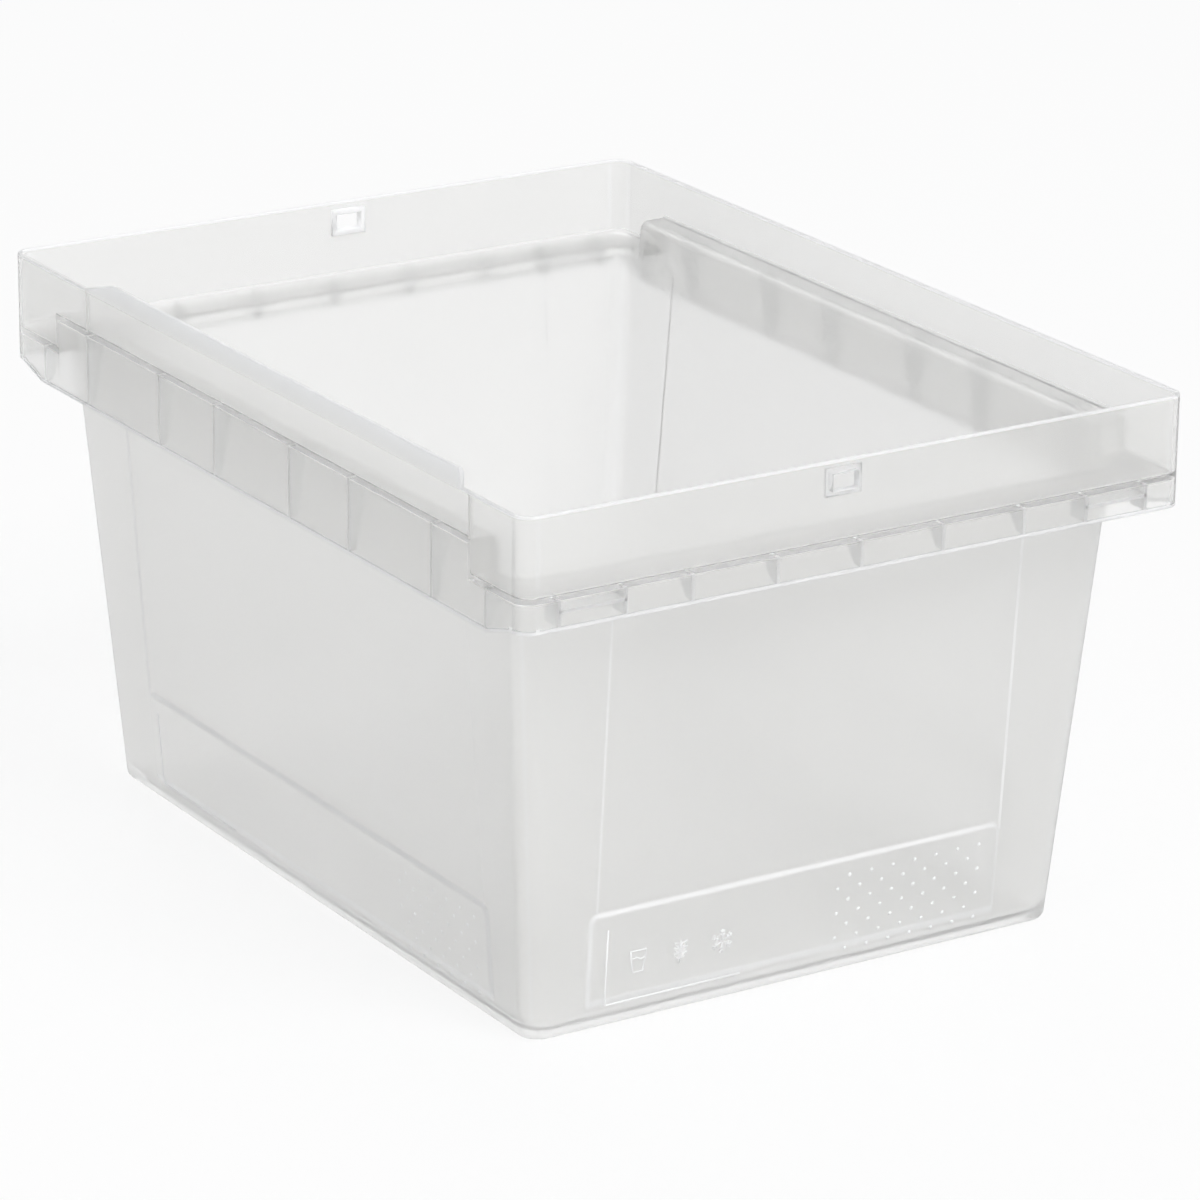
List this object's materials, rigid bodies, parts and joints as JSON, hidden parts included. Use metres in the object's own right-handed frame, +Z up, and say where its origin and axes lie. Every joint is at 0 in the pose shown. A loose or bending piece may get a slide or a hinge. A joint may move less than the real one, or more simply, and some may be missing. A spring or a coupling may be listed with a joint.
{
  "type": "storage bin",
  "caption": "Tapered open storage bin in frosted translucent plastic, with a tall rim band on a ledge, a hanging webbed skirt for grip, slotted short sides and one raised lip.",
  "frame": {"origin": "middle of the base, on the ground plane that the foot rests on", "axes": "+Z up; +X across the short sides, so the long sides are at -X and +X; +Y along the length, so the slotted short sides are at -Y (front) and +Y (rear). The raised lip is on the -X side."},
  "size_m": [0.4, 0.54, 0.3095],
  "materials": {
    "frosted_plastic": "milky translucent moulded plastic with a soft satin face"
  },
  "bodies": {
    "root": {"base_pan": "frosted_plastic", "front_wall": "frosted_plastic", "rear_wall": "frosted_plastic", "left_wall": "frosted_plastic", "right_wall": "frosted_plastic", "front_ledge": "frosted_plastic", "rear_ledge": "frosted_plastic", "left_ledge": "frosted_plastic", "right_ledge": "frosted_plastic", "front_band": "frosted_plastic", "rear_band": "frosted_plastic", "left_band": "frosted_plastic", "right_band": "frosted_plastic", "front_webs": "frosted_plastic", "rear_webs": "frosted_plastic", "left_webs": "frosted_plastic", "right_webs": "frosted_plastic", "front_pockets": "frosted_plastic", "rear_pockets": "frosted_plastic", "left_lip": "frosted_plastic", "lip_ribs": "frosted_plastic", "front_slot_frame": "frosted_plastic", "rear_slot_frame": "frosted_plastic"}
  },
  "joints": []
}
